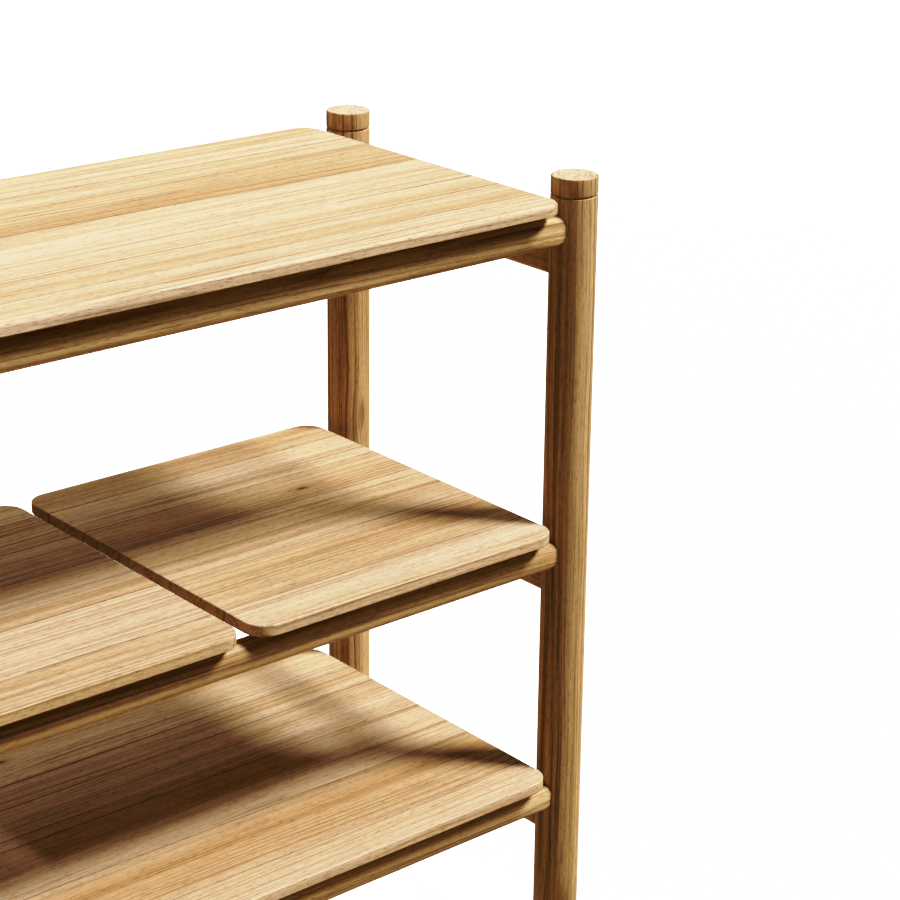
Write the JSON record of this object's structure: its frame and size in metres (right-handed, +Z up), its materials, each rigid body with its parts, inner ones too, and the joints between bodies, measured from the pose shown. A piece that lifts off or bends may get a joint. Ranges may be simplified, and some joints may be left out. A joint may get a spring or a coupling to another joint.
{
  "type": "entryway rack",
  "caption": "Open three-tier solid-wood entryway rack with round posts, oval rails and thin boards of staves; the middle boards lift off.",
  "frame": {"origin": "on the floor, at the middle of the rack's footprint", "axes": "+X along the length, +Y from the front to the rear, +Z up"},
  "size_m": [1.064, 0.35, 0.7],
  "materials": {
    "post_wood": "oiled, satin",
    "rail_wood": "oiled, satin",
    "board_wood": "oiled, satin",
    "batten_wood": "oiled, matte"
  },
  "bodies": {
    "frame": {"post_front_left": "post_wood", "post_front_right": "post_wood", "post_rear_left": "post_wood", "post_rear_right": "post_wood", "rail_top_front": "rail_wood", "rail_top_rear": "rail_wood", "rail_middle_front": "rail_wood", "rail_middle_rear": "rail_wood", "rail_low_front": "rail_wood", "rail_low_rear": "rail_wood", "end_rail_top_left": "rail_wood", "end_rail_top_right": "rail_wood", "end_rail_middle_left": "rail_wood", "end_rail_middle_right": "rail_wood", "end_rail_low_left": "rail_wood", "end_rail_low_right": "rail_wood", "top_board_stave_1": "board_wood", "top_board_stave_2": "board_wood", "top_board_stave_3": "board_wood", "top_board_stave_4": "board_wood", "top_board_stave_5": "board_wood", "top_board_stave_6": "board_wood", "top_board_batten_1": "batten_wood", "top_board_batten_2": "batten_wood", "top_board_batten_3": "batten_wood", "low_board_stave_1": "board_wood", "low_board_stave_2": "board_wood", "low_board_stave_3": "board_wood", "low_board_stave_4": "board_wood", "low_board_stave_5": "board_wood", "low_board_stave_6": "board_wood", "low_board_batten_1": "batten_wood", "low_board_batten_2": "batten_wood", "low_board_batten_3": "batten_wood"},
    "middle_board_left": {"middle_board_left_stave_1": "board_wood", "middle_board_left_stave_2": "board_wood", "middle_board_left_stave_3": "board_wood", "middle_board_left_stave_4": "board_wood", "middle_board_left_stave_5": "board_wood", "middle_board_left_stave_6": "board_wood", "middle_board_left_batten_1": "batten_wood", "middle_board_left_batten_2": "batten_wood"},
    "middle_board_centre": {"middle_board_centre_stave_1": "board_wood", "middle_board_centre_stave_2": "board_wood", "middle_board_centre_stave_3": "board_wood", "middle_board_centre_stave_4": "board_wood", "middle_board_centre_stave_5": "board_wood", "middle_board_centre_stave_6": "board_wood", "middle_board_centre_batten_1": "batten_wood", "middle_board_centre_batten_2": "batten_wood"},
    "middle_board_right": {"middle_board_right_stave_1": "board_wood", "middle_board_right_stave_2": "board_wood", "middle_board_right_stave_3": "board_wood", "middle_board_right_stave_4": "board_wood", "middle_board_right_stave_5": "board_wood", "middle_board_right_stave_6": "board_wood", "middle_board_right_batten_1": "batten_wood", "middle_board_right_batten_2": "batten_wood"}
  },
  "joints": [
    {"name": "middle_board_left_lift", "type": "slide", "parent": "frame", "child": "middle_board_left", "axis": [0, 0, 1], "range_m": [0, 0.06]},
    {"name": "middle_board_centre_lift", "type": "slide", "parent": "frame", "child": "middle_board_centre", "axis": [0, 0, 1], "range_m": [0, 0.06]},
    {"name": "middle_board_right_lift", "type": "slide", "parent": "frame", "child": "middle_board_right", "axis": [0, 0, 1], "range_m": [0, 0.06]}
  ]
}
